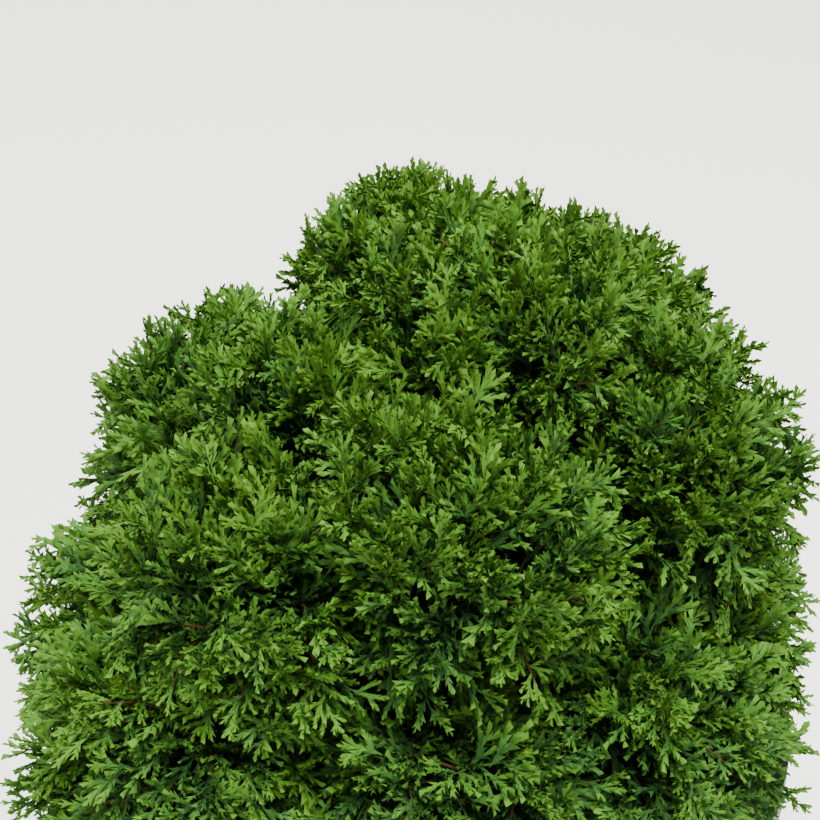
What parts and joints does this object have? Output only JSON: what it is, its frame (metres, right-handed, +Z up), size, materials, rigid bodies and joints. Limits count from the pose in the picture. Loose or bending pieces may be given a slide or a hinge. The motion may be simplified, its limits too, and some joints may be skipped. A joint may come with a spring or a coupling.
{
  "type": "potted tsukumo sawara cypress",
  "caption": "Dwarf bun-shaped conifer with dense fans of fine green scale leaves on a short hidden trunk, growing in a plain tapered black nursery pot.",
  "frame": {"origin": "middle of the pot's flat underside", "axes": "+Z up, -Y towards the side that the picture shows, +X to the right of that view"},
  "size_m": [0.2017, 0.2071, 0.2821],
  "materials": {
    "pot_plastic": "satin black moulded plastic",
    "potting_mix": "crumbly dark bark and peat mix",
    "bark": "thin red-brown stringy bark",
    "foliage": "matt fresh green scale leaves, deeper green inside"
  },
  "bodies": {
    "root": {"pot": "pot_plastic", "potting_mix": "potting_mix", "trunk": "bark", "bough_upper_front": "bark", "bough_upper_right": "bark", "bough_upper_back_right": "bark", "bough_upper_back": "bark", "bough_upper_left": "bark", "bough_left_shoulder": "bark", "bough_upper_front_left": "bark", "bough_low_front": "bark", "bough_low_front_right": "bark", "bough_low_right": "bark", "bough_low_back_right": "bark", "bough_low_back": "bark", "bough_low_back_left": "bark", "bough_low_left": "bark", "bough_low_front_left": "bark", "foliage_top": "foliage", "foliage_upper_front": "foliage", "foliage_upper_right": "foliage", "foliage_upper_back_right": "foliage", "foliage_upper_back": "foliage", "foliage_upper_left": "foliage", "foliage_left_shoulder": "foliage", "foliage_upper_front_left": "foliage", "foliage_low_front": "foliage", "foliage_low_front_right": "foliage", "foliage_low_right": "foliage", "foliage_low_back_right": "foliage", "foliage_low_back": "foliage", "foliage_low_back_left": "foliage", "foliage_low_left": "foliage", "foliage_low_front_left": "foliage"}
  },
  "joints": []
}
